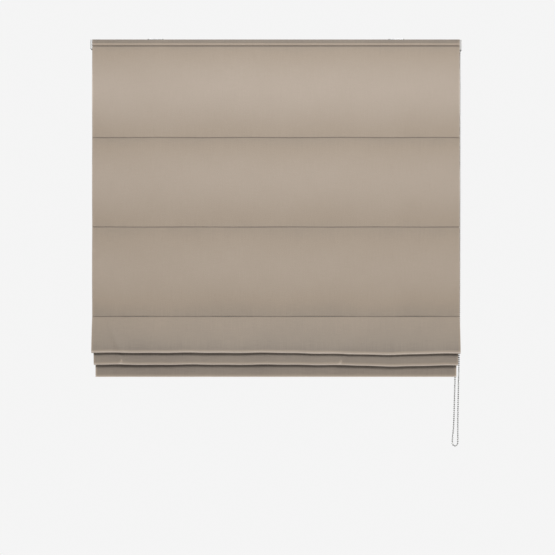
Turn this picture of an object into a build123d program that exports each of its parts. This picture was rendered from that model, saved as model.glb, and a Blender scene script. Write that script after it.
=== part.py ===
from build123d import *

import os
from math import hypot, pi, radians, sqrt, tan

# A lined roman blind that hangs from a slim aluminium headrail inside a window recess. Millimetres, +Z up.
# X runs along the headrail, -Y faces the room, and the window is on the +Y side.
# The origin is on the recess's ceiling, midway between the two fixing brackets.
# The blind is partly raised: three panels hang open, and the lowest two are gathered in folds.

os.makedirs("parts", exist_ok=True)

# Driving dimensions
blind_width = 1084.0  # over the clutch cover and the end cap
fabric_width = 1071.0
rod_drops = [289.0, 550.0, 811.0]  # from the ceiling to the rods of the open panels
stack_pitch = 18.0  # between the rods that are gathered on the lift cords
first_fold_drop = 916.0
second_fold_drop = 951.0
hem_drop = 987.0

# Clearances
running_gap = 0.05  # radial, for what turns in a bore
sliding_gap = 0.2  # for what is pushed or clipped together
cloth_gap = 0.3  # between the cloth and the rods, bars and sleeves on it
tape_gap = 0.1  # between the loop tape and the lining sewn to it
wheel_gap = 0.4  # between the chain wheel's sides and its case

# Cloth
face_thickness = 0.9
lining_thickness = 0.5
layer_gap = 0.15
lining_inset = 15.0  # the side hems of the face cloth show this far behind each edge
cloth_thickness = face_thickness + layer_gap + lining_thickness

# Headrail: an extrusion with a T-slot on top and a chamber with a cord slot below
rail_depth = 32.0
rail_height = 26.0
rail_wall = 1.4
rail_top = -2.5
slot_height = 5.5
top_slot_width = 18.0
cord_slot_width = 20.0
rail_bottom = rail_top - rail_height
rail_inner_width = rail_depth - 2 * rail_wall
chamber_top = rail_top - slot_height - rail_wall
chamber_bottom = rail_bottom + rail_wall
chamber_height = chamber_top - chamber_bottom
chamber_middle = (chamber_top + chamber_bottom) / 2
rail_front = -rail_depth / 2

# End fittings
cap_flange = 3.0
plug_length = 12.0
clutch_plug_length = 24.0
clutch_plate = 2.0
clutch_case_width = 11.0
clutch_wall = 1.1
clutch_drop = 34.0  # from the ceiling to the mouth that the chain comes out of
rail_left = -blind_width / 2 + cap_flange
rail_right = blind_width / 2 - clutch_case_width - clutch_plate

# Shaft line, spools and chain
shaft_z = -18.5
shaft_side = 5.0
bush_radius = 4.5
journal_radius = 4.5
spool_core_radius = 6.5
spool_flange_radius = 8.2
spool_width = 26.0
spool_flange = 1.0
cradle_wall = 2.0
cradle_depth = 25.0
cradle_side = 3.0
cradle_side_height = 2.5
ball_radius = 2.25
ball_pitch = 6.0
wheel_balls = 12
wheel_width = 6.0
hub_radius = 6.0
hub_length = 20.0
spring_wall = 1.2
spring_length = 13.0
screw_radius = 1.3
screw_head_radius = 2.2
screw_head_height = 1.2
screw_length = 12.0
screw_side = 13.4  # from the headrail's middle to each screw
screw_drop = 2.9  # from the headrail's top

# Lift cords and their stations
cord_radius = 0.7
lay_gap = 0.1  # between the spool's core and the cord on it
cord_stations = {"left": -435.0, "middle": 0.0, "right": 435.0}

# Hook and loop tapes
hook_thickness = 1.2
loop_thickness = 1.0
tape_height = 20.0
tape_drop = 4.5  # from the ceiling
tape_inset = 10.0  # from each side of the cloth

# Brackets
bracket_half_spacing = 340.0
bracket_thickness = 1.5
bracket_depth = 28.0
bracket_length = 46.0
bracket_screw_side = 11.0  # from the screws to the plate's near end
screw_spacing = 16.0
fixing_hole_radius = 2.3
cam_offset = 20.0  # from the screws to the cam's pivot
cam_length = 26.0
cam_width = 11.0
cam_thickness = 1.6
cam_neck_radius = 5.0
lever_thickness = 0.8
lever_width = 8.0
lever_reach = 26.0
rivet_radius = 1.6
rivet_head_radius = 3.0
rivet_head_height = 1.0

# Rods, pockets, guides
rod_radius = 2.25
rod_inset = 9.0  # from each side of the cloth to the rod's end
tip_wall = 0.45
tip_radius = rod_radius + tip_wall
tip_length = 14.0
tip_end = 1.5
pocket_wall = 0.4
pocket_room = 0.2  # between a rod's tip and its pocket
pocket_radius = tip_radius + pocket_room + pocket_wall
pocket_inset = 5.0
guide_width = 8.0
clip_wall = 0.9
eyelet_radius = 2.9
eyelet_bore = 1.4
eyelet_height = 6.0
web_height = 5.0

# Bottom bar
bar_height = 25.0
bar_thickness = 3.2
bar_inset = 14.0
bar_cap = 2.0
sleeve_wall = 0.5
sleeve_inset = 11.0  # the hem is drawn in a little at each side
anchor_radius = 3.0
anchor_bore = 1.1
anchor_height = 16.0

# Worked out from the sizes above
loop_back = rail_front - hook_thickness
lining_back = loop_back - loop_thickness - tape_gap
face_front = lining_back - cloth_thickness
rod_y = lining_back + cloth_gap + pocket_radius
cord_y = -(spool_core_radius + cord_radius + lay_gap)
gathered_drops = [rod_drops[-1] + stack_pitch, rod_drops[-1] + 2 * stack_pitch]
ball_circle_radius = ball_pitch * wheel_balls / (2 * pi)
wheel_x = blind_width / 2 - clutch_wall - wheel_gap - wheel_width / 2


def save(builder, node):
    """Label a finished piece and write it as a STEP file under its node's name."""
    builder.part.label = node
    export_step(builder.part, f"parts/{node}.step")


def box_between(low, high, mode=Mode.ADD):
    """A box from its lowest to its highest corner, for use inside a part."""
    middle = tuple((a + b) / 2 for a, b in zip(low, high))
    sides = [b - a for a, b in zip(low, high)]
    with Locations(middle):
        Box(*sides, mode=mode)


def rod_along_x(radius, start, end, y, z, mode=Mode.ADD):
    """A round bar along X, for use inside a part."""
    with BuildSketch(Plane.YZ.offset(start)) as section:
        with Locations((y, z)):
            Circle(radius)
    extrude(section.sketch, amount=end - start, mode=mode)


def square_hole(start, end):
    """Cut the shaft's square hole, with its clearance, along X."""
    side = shaft_side + 2 * running_gap
    with BuildSketch(Plane.YZ.offset(start)) as section:
        with Locations((0, shaft_z)):
            Rectangle(side, side)
    extrude(section.sketch, amount=end - start, mode=Mode.SUBTRACT)


# Headrail
with BuildPart() as headrail:
    with BuildSketch(Plane.YZ.offset(rail_left)):
        with Locations((0, (rail_top + rail_bottom) / 2)):
            Rectangle(rail_depth, rail_height)
        with Locations((0, chamber_middle)):
            Rectangle(rail_inner_width, chamber_height, mode=Mode.SUBTRACT)
        with Locations((0, rail_bottom)):
            Rectangle(cord_slot_width, 4 * rail_wall, mode=Mode.SUBTRACT)
        with Locations((0, rail_top)):
            Rectangle(top_slot_width, 4 * rail_wall, mode=Mode.SUBTRACT)
        with Locations((0, rail_top - (rail_wall + slot_height) / 2)):
            Rectangle(rail_inner_width, slot_height - rail_wall, mode=Mode.SUBTRACT)
    extrude(amount=rail_right - rail_left)
save(headrail, "headrail")

# Hook tape, glued to the headrail, and loop tape, sewn to the heading of the cloth
with BuildPart() as hook_tape:
    tape_half = fabric_width / 2 - tape_inset
    tape_low = -tape_drop - tape_height
    box_between((-tape_half, loop_back, tape_low), (tape_half, rail_front, -tape_drop))
save(hook_tape, "hook_tape")

with BuildPart() as loop_tape:
    loop_front = loop_back - loop_thickness
    box_between((-tape_half, loop_front, tape_low), (tape_half, loop_back, -tape_drop))
save(loop_tape, "loop_tape")


# End fittings
def chamber_plug(start, end):
    """A block that fits the headrail's lower chamber."""
    width = rail_inner_width - 2 * sliding_gap
    height = chamber_height - 2 * sliding_gap
    with BuildSketch(Plane.YZ.offset(start)) as section:
        with Locations((0, chamber_middle)):
            Rectangle(width, height)
    extrude(section.sketch, amount=end - start)


with BuildPart() as end_cap:
    low = (-blind_width / 2, -rail_depth / 2, rail_bottom)
    box_between(low, (rail_left, rail_depth / 2, rail_top))
    fillet(end_cap.edges().filter_by(Axis.X), 1.5)
    chamber_plug(rail_left, rail_left + plug_length)
    rod_along_x(bush_radius + running_gap, rail_left, rail_left + plug_length, 0, shaft_z, Mode.SUBTRACT)
save(end_cap, "end_cap")

plate_right = rail_right + clutch_plate
spring_left = rail_right - clutch_plug_length + 5.0
hub_left = plate_right - hub_length
screw_places = [(side * screw_side, rail_top - screw_drop) for side in (-1, 1)]

with BuildPart() as clutch_housing:
    low = (rail_right, -rail_depth / 2, -clutch_drop)
    box_between(low, (plate_right, rail_depth / 2, rail_top))
    fillet(clutch_housing.edges().filter_by(Axis.X), 2.0)
    chamber_plug(rail_right - clutch_plug_length, rail_right)
    rod_along_x(hub_radius + running_gap, hub_left - 1.0, plate_right, 0, shaft_z, Mode.SUBTRACT)
    spring_room = hub_radius + spring_wall + 0.3
    rod_along_x(spring_room, spring_left, spring_left + spring_length + 1.0, 0, shaft_z, Mode.SUBTRACT)
    shaft_room = shaft_side / sqrt(2) + sliding_gap
    rod_along_x(shaft_room, rail_right - clutch_plug_length, plate_right, 0, shaft_z, Mode.SUBTRACT)
    for y, z in screw_places:
        rod_along_x(screw_radius, rail_right, plate_right, y, z, Mode.SUBTRACT)
save(clutch_housing, "clutch_housing")

with BuildPart() as clutch_cover:
    low = (plate_right, -rail_depth / 2, -clutch_drop)
    box_between(low, (blind_width / 2, rail_depth / 2, rail_top))
    fillet(clutch_cover.edges().filter_by(Axis.X), 2.0)
    wheel_room = ball_circle_radius + ball_radius + 0.6
    room_end = blind_width / 2 - clutch_wall
    rod_along_x(wheel_room, plate_right, room_end, 0, shaft_z, Mode.SUBTRACT)
    low = (plate_right, -wheel_room, -clutch_drop - 1)
    box_between(low, (room_end, wheel_room, shaft_z), Mode.SUBTRACT)
    head_start = blind_width / 2 - screw_head_height
    for y, z in screw_places:
        rod_along_x(screw_radius + 0.1, plate_right, blind_width / 2, y, z, Mode.SUBTRACT)
        rod_along_x(screw_head_radius + 0.1, head_start, blind_width / 2, y, z, Mode.SUBTRACT)
save(clutch_cover, "clutch_cover")

with BuildPart() as cover_screws:
    for y, z in screw_places:
        rod_along_x(screw_radius - 0.05, blind_width / 2 - screw_length, head_start, y, z)
        rod_along_x(screw_head_radius, head_start, blind_width / 2, y, z)
save(cover_screws, "cover_screws")

with BuildPart() as brake_spring:
    spring_start = spring_left + 0.5
    spring_end = spring_start + spring_length
    rod_along_x(hub_radius + spring_wall, spring_start, spring_end, 0, shaft_z)
    rod_along_x(hub_radius + 0.05, spring_start, spring_end, 0, shaft_z, Mode.SUBTRACT)
save(brake_spring, "brake_spring")

# Drive: chain wheel, square shaft, bush and spools
with BuildPart() as chain_wheel:
    wheel_left = wheel_x - wheel_width / 2
    rod_along_x(ball_circle_radius + 0.9, wheel_left, wheel_left + wheel_width, 0, shaft_z)
    rod_along_x(hub_radius, hub_left, wheel_left, 0, shaft_z)
    with BuildSketch(Plane.XZ) as groove:
        with Locations((wheel_x, shaft_z + ball_circle_radius)):
            Circle(ball_radius + 0.2)
    revolve(axis=Axis((0, 0, shaft_z), (1, 0, 0)), mode=Mode.SUBTRACT)
    square_hole(hub_left, wheel_left + 1.0)
save(chain_wheel, "chain_wheel")

shaft_left = rail_left + 2.0
with BuildPart() as drive_shaft:
    with BuildSketch(Plane.YZ.offset(shaft_left)):
        with Locations((0, shaft_z)):
            Rectangle(shaft_side, shaft_side)
    extrude(amount=wheel_left - shaft_left)
save(drive_shaft, "drive_shaft")

with BuildPart() as shaft_bush:
    rod_along_x(bush_radius, shaft_left, rail_left + plug_length, 0, shaft_z)
    square_hole(shaft_left, rail_left + plug_length)
save(shaft_bush, "shaft_bush")

cradle_half = spool_width / 2 + spool_flange + sliding_gap + cradle_wall
for place, x in cord_stations.items():
    with BuildPart() as spool:
        rod_along_x(spool_core_radius, x - spool_width / 2, x + spool_width / 2, 0, shaft_z)
        rod_along_x(journal_radius, x - cradle_half, x + cradle_half, 0, shaft_z)
        for side in (-1, 1):
            inner = x + side * spool_width / 2
            outer = inner + side * spool_flange
            rod_along_x(spool_flange_radius, min(inner, outer), max(inner, outer), 0, shaft_z)
        square_hole(x - cradle_half, x + cradle_half)
    save(spool, f"spool_{place}")

    with BuildPart() as cradle:
        cradle_low = chamber_bottom + 0.1
        cradle_high = chamber_top - sliding_gap
        for side in (-1, 1):
            wall_middle = x + side * (cradle_half - cradle_wall / 2)
            with Locations((wall_middle, 0, (cradle_low + cradle_high) / 2)):
                Box(cradle_wall, cradle_depth, cradle_high - cradle_low)
            rail_middle_y = side * (cradle_depth - cradle_side) / 2
            with Locations((x, rail_middle_y, cradle_low + cradle_side_height / 2)):
                Box(2 * cradle_half, cradle_side, cradle_side_height)
        bore = journal_radius + running_gap
        rod_along_x(bore, x - cradle_half, x + cradle_half, 0, shaft_z, Mode.SUBTRACT)
    save(cradle, f"spool_cradle_{place}")

# Brackets: a plate screwed to the ceiling, and a cam that turns under the lips of the headrail's T-slot
for place, side in {"left": -1, "right": 1}.items():
    screw_x = side * bracket_half_spacing
    pivot_x = screw_x + side * cam_offset
    near_end = screw_x - side * bracket_screw_side
    far_end = near_end + side * bracket_length
    with BuildPart() as bracket:
        low = (min(near_end, far_end), -bracket_depth / 2, -bracket_thickness)
        box_between(low, (max(near_end, far_end), bracket_depth / 2, 0))
        fillet(bracket.edges().filter_by(Axis.Z), 4.0)
        with Locations((screw_x, -screw_spacing / 2, 0), (screw_x, screw_spacing / 2, 0)):
            Hole(fixing_hole_radius)
        with Locations((pivot_x, 0, 0)):
            Hole(rivet_radius)
    save(bracket, f"bracket_{place}")

    lever_top = -bracket_thickness - 0.1
    lever_bottom = lever_top - lever_thickness
    cam_top = rail_top - rail_wall - sliding_gap
    cam_bottom = cam_top - cam_thickness
    with BuildPart() as cam:
        with BuildSketch(Plane.XY.offset(lever_bottom)):
            with Locations((pivot_x, lever_reach / 2)):
                SlotCenterToCenter(lever_reach, lever_width, rotation=90)
        extrude(amount=lever_thickness)
        with BuildSketch(Plane.XY.offset(cam_bottom)):
            with Locations((pivot_x, 0)):
                SlotOverall(cam_length, cam_width, rotation=90)
        extrude(amount=cam_thickness)
        with BuildSketch(Plane.XY.offset(cam_bottom)):
            with Locations((pivot_x, 0)):
                Circle(cam_neck_radius)
        extrude(amount=lever_top - cam_bottom)
        with BuildSketch(Plane.XY.offset(cam_bottom)):
            with Locations((pivot_x, 0)):
                Circle(rivet_radius + running_gap)
        extrude(amount=lever_top - cam_bottom, mode=Mode.SUBTRACT)
    save(cam, f"cam_{place}")

    with BuildPart() as rivet:
        with BuildSketch(Plane.XY.offset(cam_bottom - 0.1)):
            with Locations((pivot_x, 0)):
                Circle(rivet_radius)
        extrude(amount=-cam_bottom + 0.1)
        with BuildSketch(Plane.XY.offset(cam_bottom - 0.1)):
            with Locations((pivot_x, 0)):
                Circle(rivet_head_radius)
        extrude(amount=-rivet_head_height)
    save(rivet, f"cam_rivet_{place}")

# Cloth. The route follows the face's front side from the heading to the hem, as (y, z, corner radius).
# Each gathered panel falls in front of the rod below it, turns up at its lip and comes back to that rod,
# where it creases over the stack and starts the next panel.
crease_front = face_front - 2 * face_thickness
crease_back = face_front
fold_depth = 11.5  # across a lip
lip_radius = 5.0
crease_radius = 0.85
bend_radius = 12.0
rod_3_z = -rod_drops[-1]
crease_4_z = -gathered_drops[0] + 3.0
crease_5_z = -gathered_drops[1] + 3.0
first_lip_y = face_front - 29.0
second_lip_y = face_front - 16.0
cloth_route = [
    (face_front, rail_top, 0),
    (face_front, rod_3_z, bend_radius),
    (face_front - 5.9, rod_3_z - 12.0, bend_radius),
    (face_front - 10.6, rod_3_z - 32.0, bend_radius),
    (first_lip_y, -first_fold_drop, lip_radius),
    (first_lip_y + fold_depth, -first_fold_drop, lip_radius),
    (face_front - 6.9, rod_3_z - 34.0, bend_radius),
    (crease_front, crease_4_z, crease_radius),
    (crease_back, crease_4_z, crease_radius),
    (face_front, crease_4_z - 4.0, 5.0),
    (face_front - 5.5, crease_4_z - 16.0, 5.0),
    (face_front - 7.3, crease_4_z - 30.0, bend_radius),
    (second_lip_y, -second_fold_drop, lip_radius),
    (second_lip_y + fold_depth, -second_fold_drop, lip_radius),
    (face_front - 3.8, crease_5_z - 16.0, bend_radius),
    (crease_front, crease_5_z, crease_radius),
    (crease_back, crease_5_z, crease_radius),
    (face_front, -hem_drop, 0),
]


def offset_route(route, distance):
    """The route moved sideways towards its lining, with concentric corners. It turns left at a lip, where a corner's radius shrinks, and right at a crease, where it grows."""
    moved = []
    for i, (y, z, radius) in enumerate(route):
        before = route[max(i - 1, 0)]
        after = route[min(i + 1, len(route) - 1)]
        directions = []
        for a, b in ((before, (y, z)), ((y, z), after)):
            length = hypot(b[0] - a[0], b[1] - a[1])
            if length:
                directions.append(((b[0] - a[0]) / length, (b[1] - a[1]) / length))
        (ay, az), (by, bz) = directions[0], directions[-1]
        # both edges move along their left normals, and the corner goes to where they meet
        share = distance / (1 + ay * by + az * bz)
        corner = (y - (az + bz) * share, z + (ay + by) * share)
        turn = ay * bz - az * by
        moved.append((*corner, radius - distance if turn > 0 else radius + distance))
    return moved


def cloth_layer(near, thickness, width):
    """One layer of cloth between two distances behind the face's front side."""
    front = offset_route(cloth_route, near)
    back = offset_route(cloth_route, near + thickness)
    with BuildPart() as layer:
        with BuildSketch(Plane.YZ.offset(-width / 2)):
            with BuildLine():
                for side in (front, back):
                    points = [(y, z) for y, z, _ in side]
                    FilletPolyline(*points, radius=[r for _, _, r in side[1:-1]])
                Line(front[0][:2], back[0][:2])
                Line(front[-1][:2], back[-1][:2])
            make_face()
        extrude(amount=width)
    return layer


face_fabric = cloth_layer(0, face_thickness, fabric_width)
save(face_fabric, "face_fabric")

lining_width = fabric_width - 2 * lining_inset
lining = cloth_layer(face_thickness + layer_gap, lining_thickness, lining_width)
save(lining, "lining")

# Lift cords, from the spools to the anchors under the lowest rod
last_rod_z = -gathered_drops[-1]
anchor_top = last_rod_z - eyelet_height / 2 - 0.1
cord_end = anchor_top - anchor_height + 2.0
for place, x in cord_stations.items():
    with BuildPart() as lift_cord:
        with BuildSketch(Plane.XY.offset(cord_end)):
            with Locations((x, cord_y)):
                Circle(cord_radius)
        extrude(amount=shaft_z - cord_end)
    save(lift_cord, f"lift_cord_{place}")

# Rods in their pockets, with soft tips and the guides that the lift cords run through
rod_half = fabric_width / 2 - rod_inset
pocket_half = fabric_width / 2 - pocket_inset - lining_inset
for number, drop in enumerate([*rod_drops, *gathered_drops], 1):
    z = -drop
    with BuildPart() as rod:
        rod_along_x(rod_radius, -rod_half, rod_half, rod_y, z)
    save(rod, f"rod_{number}")

    with BuildPart() as rod_tips:
        for side in (-1, 1):
            outer = side * (rod_half + tip_end)
            inner = outer - side * tip_length
            rod_along_x(tip_radius, min(inner, outer), max(inner, outer), rod_y, z)
        rod_along_x(rod_radius + 0.02, -rod_half, rod_half, rod_y, z, Mode.SUBTRACT)
    save(rod_tips, f"rod_tips_{number}")

    with BuildPart() as pocket:
        rod_along_x(pocket_radius, -pocket_half, pocket_half, rod_y, z)
        rod_along_x(pocket_radius - pocket_wall, -pocket_half, pocket_half, rod_y, z, Mode.SUBTRACT)
    save(pocket, f"rod_pocket_{number}")

    with BuildPart() as guides:
        clip_inner = pocket_radius + 0.05
        clip_outer = clip_inner + clip_wall
        for x in cord_stations.values():
            with BuildSketch(Plane.YZ.offset(x - guide_width / 2)):
                with Locations((rod_y, z)):
                    Circle(clip_outer)
                with Locations(((rod_y + cord_y) / 2 + 1.0, z)):
                    Rectangle(cord_y - rod_y - 2.0, web_height)
                with Locations((rod_y, z)):
                    Circle(clip_inner, mode=Mode.SUBTRACT)
                with Locations((rod_y - 1.0 - clip_outer / 2, z)):
                    Rectangle(clip_outer, 2 * clip_outer, mode=Mode.SUBTRACT)
            extrude(amount=guide_width)
            with BuildSketch(Plane.XY.offset(z - eyelet_height / 2)):
                with Locations((x, cord_y)):
                    Circle(eyelet_radius)
            extrude(amount=eyelet_height)
            with BuildSketch(Plane.XY.offset(z - eyelet_height / 2)):
                with Locations((x, cord_y)):
                    Circle(eyelet_bore)
            extrude(amount=eyelet_height, mode=Mode.SUBTRACT)
    save(guides, f"cord_guides_{number}")

# Anchors that hold the ends of the lift cords under the lowest guides
with BuildPart() as anchors:
    for x in cord_stations.values():
        with BuildSketch(Plane.XY.offset(anchor_top - anchor_height)):
            with Locations((x, cord_y)):
                Circle(anchor_radius)
                Circle(anchor_bore, mode=Mode.SUBTRACT)
        extrude(amount=anchor_height)
save(anchors, "cord_anchors")

# Bottom bar in its hem sleeve
sleeve_front = lining_back + cloth_gap
bar_front = sleeve_front + sleeve_wall + cloth_gap
bar_back = bar_front + bar_thickness
sleeve_back = bar_back + cloth_gap + sleeve_wall
sleeve_low = -hem_drop + cloth_gap
bar_low = sleeve_low + sleeve_wall + cloth_gap
bar_high = bar_low + bar_height
sleeve_high = bar_high + cloth_gap + sleeve_wall
bar_half = fabric_width / 2 - bar_inset - bar_cap
sleeve_half = fabric_width / 2 - sleeve_inset

with BuildPart() as bottom_bar:
    box_between((-bar_half, bar_front, bar_low), (bar_half, bar_back, bar_high))
    fillet(bottom_bar.edges().filter_by(Axis.X), bar_thickness * 0.45)
save(bottom_bar, "bottom_bar")

with BuildPart() as bar_end_caps:
    for side in (-1, 1):
        with Locations((side * (bar_half + bar_cap / 2), (bar_front + bar_back) / 2, (bar_low + bar_high) / 2)):
            Box(bar_cap, bar_thickness, bar_height)
    fillet(bar_end_caps.edges().filter_by(Axis.X), bar_thickness * 0.45)
save(bar_end_caps, "bar_end_caps")

with BuildPart() as hem_sleeve:
    box_between((-sleeve_half, sleeve_front, sleeve_low), (sleeve_half, sleeve_back, sleeve_high))
    low = (-sleeve_half, sleeve_front + sleeve_wall, sleeve_low + sleeve_wall)
    high = (sleeve_half, sleeve_back - sleeve_wall, sleeve_high - sleeve_wall)
    box_between(low, high, Mode.SUBTRACT)
save(hem_sleeve, "hem_sleeve")

# Ball chain: an endless loop over the wheel. The free part hangs down, turns at the bottom and comes back up.
chain_front_y = -ball_circle_radius
chain_route = [
    (wheel_x, chain_front_y, shaft_z),
    (wheel_x, chain_front_y + 0.3, -470.0),
    (wheel_x - 0.8, -10.0, -860.0),
    (wheel_x - 3.9, -5.5, -1040.0),
    (wheel_x - 4.8, -2.2, -1115.0),
    (wheel_x - 4.6, -0.9, -1155.0),
    (wheel_x - 4.5, -0.5, -1173.0),
    (wheel_x - 4.8, -0.2, -1185.4),
    (wheel_x - 10.2, 0.1, -1190.8),
    (wheel_x - 17.8, 0.4, -1190.8),
    (wheel_x - 23.2, 0.7, -1185.4),
    (wheel_x - 23.7, 1.0, -1173.0),
    (wheel_x - 23.2, 1.4, -1155.0),
    (wheel_x - 21.2, 1.9, -1120.0),
    (wheel_x - 17.4, 2.7, -1060.0),
    (wheel_x - 14.0, 3.6, -970.0),
    (wheel_x - 9.5, 6.0, -780.0),
    (wheel_x - 4.4, 9.0, -430.0),
    (wheel_x, -chain_front_y, shaft_z),
]


def chain_radii(route):
    """The largest arc that each corner of the route leaves room for."""
    radii = []
    for a, b, c in zip(route, route[1:], route[2:]):
        first = Vector(b) - Vector(a)
        second = Vector(c) - Vector(b)
        turn = first.get_angle(second)
        radii.append(0.45 * min(first.length, second.length) / tan(radians(turn / 2)))
    return radii


radii = chain_radii(chain_route)
print("chain radii", [round(r, 1) for r in radii])
with BuildPart() as bead_chain:
    with BuildLine() as chain_line:
        FilletPolyline(*chain_route, radius=radii)
    with BuildSketch(Plane(chain_line.line @ 0, z_dir=chain_line.line % 0)):
        Circle(ball_radius)
    sweep()
save(bead_chain, "bead_chain")
chain_length = sum(edge.length for edge in chain_line.edges())
volume_ratio = bead_chain.part.volume / (pi * ball_radius**2 * chain_length)
print("chain length", round(chain_length, 1), "volume ratio", round(volume_ratio, 4))

with BuildPart() as chain_wrap:
    with BuildSketch(Plane.XY.offset(shaft_z)):
        with Locations((wheel_x, chain_front_y)):
            Circle(ball_radius)
    revolve(axis=Axis((0, 0, shaft_z), (-1, 0, 0)), revolution_arc=180)
save(chain_wrap, "chain_wrap")
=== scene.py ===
import math

import bmesh
import bpy
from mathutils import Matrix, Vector


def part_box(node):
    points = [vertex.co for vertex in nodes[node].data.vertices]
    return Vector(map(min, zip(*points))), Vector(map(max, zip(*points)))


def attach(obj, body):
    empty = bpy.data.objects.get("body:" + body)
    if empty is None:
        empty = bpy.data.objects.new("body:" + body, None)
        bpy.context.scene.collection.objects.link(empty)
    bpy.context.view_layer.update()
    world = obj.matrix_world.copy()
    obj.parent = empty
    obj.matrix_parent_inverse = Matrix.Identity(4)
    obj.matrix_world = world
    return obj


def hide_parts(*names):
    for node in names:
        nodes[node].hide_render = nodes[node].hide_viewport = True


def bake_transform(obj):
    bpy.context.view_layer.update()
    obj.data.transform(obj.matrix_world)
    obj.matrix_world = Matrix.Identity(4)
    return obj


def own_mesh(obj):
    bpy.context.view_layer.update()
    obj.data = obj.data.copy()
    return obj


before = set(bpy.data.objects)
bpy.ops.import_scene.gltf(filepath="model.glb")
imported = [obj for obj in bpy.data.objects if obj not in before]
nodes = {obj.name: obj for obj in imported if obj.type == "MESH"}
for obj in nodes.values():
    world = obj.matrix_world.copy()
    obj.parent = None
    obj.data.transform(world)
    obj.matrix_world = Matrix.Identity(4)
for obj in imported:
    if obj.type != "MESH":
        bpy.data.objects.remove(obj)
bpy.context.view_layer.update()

# Headrail: a drawn aluminium section with a T-slot on top, mill-finished and lightly brushed along its length.
# Everything else on the blind hangs from it or turns inside it.


def shader_group(name, inputs, outputs):
    """An empty shader group with named sockets, and its input and output nodes."""
    group = bpy.data.node_groups.new(name, "ShaderNodeTree")
    for direction, sockets in (("INPUT", inputs), ("OUTPUT", outputs)):
        for socket_name, kind, *default in sockets:
            socket = group.interface.new_socket(socket_name, in_out=direction, socket_type=f"NodeSocket{kind}")
            if default:
                socket.default_value = default[0]
    return group, group.nodes.new("NodeGroupInput"), group.nodes.new("NodeGroupOutput")


def wire(tree, kind, values=(), **settings):
    """A node in a tree. Values go to its inputs by name or number: a socket is linked, anything else is set."""
    node = tree.nodes.new(kind)
    for key, value in settings.items():
        setattr(node, key, value)
    for key, value in dict(values).items():
        if isinstance(value, bpy.types.NodeSocket):
            tree.links.new(value, node.inputs[key])
        else:
            node.inputs[key].default_value = value
    return node


def reckon(tree, operation, *values):
    """The result of a sum on one or two values."""
    return wire(tree, "ShaderNodeMath", dict(enumerate(values)), operation=operation).outputs[0]


def noise(tree, vector, scale, detail):
    """Soft noise read at a place."""
    return wire(tree, "ShaderNodeTexNoise", {"Vector": vector, "Scale": scale, "Detail": detail}).outputs[0]


def remap(tree, value, old, new):
    """A value carried from one range to another."""
    return wire(tree, "ShaderNodeMapRange", {0: value, 1: old[0], 2: old[1], 3: new[0], 4: new[1]}).outputs[0]


def own_place(tree):
    """A point's place in its own object."""
    return wire(tree, "ShaderNodeTexCoord").outputs["Object"]


def give(tree, node, **values):
    """Link values to a node's inputs by name."""
    for name, value in values.items():
        tree.links.new(value, node.inputs[name])


def dress(tree, shader, tones=None, roughness=None, relief=None):
    """Drive a shader: tones are (mask, dark, light), relief is (height, strength, distance)."""
    if tones:
        mask, dark, light = tones
        tone = wire(tree, "ShaderNodeMix", {0: mask, 6: (*dark, 1), 7: (*light, 1)}, data_type="RGBA")
        tree.links.new(tone.outputs[2], shader.inputs["Base Color"])
    if roughness is not None:
        tree.links.new(roughness, shader.inputs["Roughness"])
    if relief:
        height, strength, distance = relief
        bump = wire(tree, "ShaderNodeBump", {"Height": height, "Strength": strength, "Distance": distance})
        tree.links.new(bump.outputs[0], shader.inputs["Normal"])


def finish(name, colour, roughness, **sockets):
    """A material with one Principled shader. Returns it, its tree and the shader."""
    material = bpy.data.materials.new(name)
    material.use_nodes = True
    tree = material.node_tree
    shader = tree.nodes["Principled BSDF"]
    shader.inputs["Base Color"].default_value = (*colour, 1)
    shader.inputs["Roughness"].default_value = roughness
    for socket, value in sockets.items():
        shader.inputs[socket.replace("_", " ")].default_value = value
    return material, tree, shader


# Long fine streaks, as drawing or brushing leaves on metal: stretched noise along X
streaks, inside, outside = shader_group(
    "drawn streaks",
    [("Along", "Float", 6.0), ("Across", "Float", 900.0), ("Depth", "Float", 0.5)],
    [("Mask", "Float"), ("Roughness", "Float"), ("Height", "Float")],
)
place = own_place(streaks)
along, across = inside.outputs["Along"], inside.outputs["Across"]
stretch = wire(streaks, "ShaderNodeCombineXYZ", {0: along, 1: across, 2: across})
stretched = wire(streaks, "ShaderNodeVectorMath", {0: place, 1: stretch.outputs[0]}, operation="MULTIPLY")
grain = noise(streaks, stretched.outputs[0], 1.0, 3.0)
handled = noise(streaks, place, 22.0, 4.0)
give(streaks, outside, Mask=grain, Roughness=remap(streaks, handled, (0.35, 0.7), (0.42, 0.56)),
     Height=reckon(streaks, "MULTIPLY", grain, inside.outputs["Depth"]))


def drawn_metal(name, dark, light, along=6.0, across=900.0, metallic=1.0):
    """Brushed or drawn stock with streaks along X."""
    material, tree, shader = finish(name, light, 0.35, Metallic=metallic)
    pattern = wire(tree, "ShaderNodeGroup", {"Along": along, "Across": across}, node_tree=streaks)
    dress(tree, shader, (pattern.outputs["Mask"], dark, light), pattern.outputs["Roughness"],
          (pattern.outputs["Height"], 0.08, 0.0001))
    return material


def paint(material, *names):
    """Give CAD nodes their finish."""
    for name in names:
        slots = nodes[name].data.materials
        for i in range(len(slots)):
            slots[i] = material


rail_metal = drawn_metal("mill finished aluminium", (0.46, 0.47, 0.48), (0.6, 0.61, 0.62))
paint(rail_metal, "headrail")

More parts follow.
